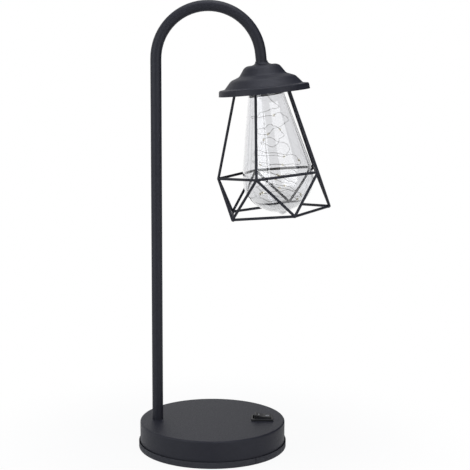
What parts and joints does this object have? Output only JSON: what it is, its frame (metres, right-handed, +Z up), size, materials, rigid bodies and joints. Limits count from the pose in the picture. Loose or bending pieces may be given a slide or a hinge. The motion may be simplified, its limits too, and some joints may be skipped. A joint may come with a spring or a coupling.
{
  "type": "led table lamp",
  "caption": "Battery table lamp: round base with a rocker switch, tube neck bent over into a bell canopy, clear bulb with a light string in an open wire cage.",
  "frame": {"origin": "centre of the ring that the base stands on", "axes": "+Z up, +X from the neck tube towards the head, +Y to the back as the picture shows it"},
  "size_m": [0.1795, 0.14, 0.418],
  "materials": {
    "charcoal_coat": "fine matt powder coat",
    "edge_rubber": "matt",
    "base_plastic": "fine texture",
    "switch_plastic": "satin",
    "clear_glass": "clear",
    "zinc_steel": "zinc plated",
    "nickel_contact": "nickel plated",
    "brass_contact": "bare",
    "cell_sleeve": "printed sleeve without print",
    "nylon": "natural",
    "string_wire": "bare silvery wire",
    "light_drops": "clear resin",
    "lead_jacket": "matt",
    "red_insulation": "satin",
    "board": "solder resist",
    "foam": "foam",
    "resistor": "lacquer"
  },
  "bodies": {
    "lamp": {"base_shell": "charcoal_coat", "neck_tube": "charcoal_coat", "neck_collar": "charcoal_coat", "canopy": "charcoal_coat", "cage_uprights": "charcoal_coat", "cage_mid_ring": "charcoal_coat", "cage_struts": "charcoal_coat", "cage_bottom_ring": "charcoal_coat", "edge_trim": "edge_rubber", "base_plate": "base_plastic", "bulb_holder": "base_plastic", "holder_cap": "base_plastic", "switch_body": "switch_plastic", "bulb_envelope": "clear_glass", "shell_posts": "zinc_steel", "plate_screws": "zinc_steel", "foot_nipple": "zinc_steel", "foot_washer": "zinc_steel", "foot_nut": "zinc_steel", "head_nipple": "zinc_steel", "head_washer": "zinc_steel", "head_nut": "zinc_steel", "contact_plates": "nickel_contact", "contact_springs": "nickel_contact", "switch_terminals": "brass_contact", "battery_cells": "cell_sleeve", "led_string": "string_wire", "led_beads": "light_drops", "feed_lead": "lead_jacket", "wire_minus": "lead_jacket", "wire_plus": "red_insulation", "wire_switched": "red_insulation", "circuit_board": "board", "board_pad": "foam", "board_resistor": "resistor"},
    "rocker": {"switch_rocker": "switch_plastic", "rocker_plunger": "nylon", "plunger_spring": "nickel_contact"},
    "contact": {"switch_contact": "brass_contact"},
    "door": {"battery_door": "base_plastic"}
  },
  "joints": [
    {"name": "rocker_tilt", "type": "hinge", "parent": "lamp", "child": "rocker", "pos_m": [0.0473, 0, 0.0232], "axis": [0, -1, 0], "range_deg": [0, 16]},
    {"name": "contact_tilt", "type": "hinge", "parent": "lamp", "child": "contact", "pos_m": [0.0473, 0, 0.0156], "axis": [0, -1, 0], "range_deg": [-16, 0]},
    {"name": "door_hinge", "type": "hinge", "parent": "lamp", "child": "door", "pos_m": [-0.002, -0.0319, 0.00275], "axis": [-1, 0, 0], "range_deg": [0, 95]}
  ],
  "couplings": [
    {"joint": "contact_tilt", "follows": "rocker_tilt", "ratio": -1}
  ]
}
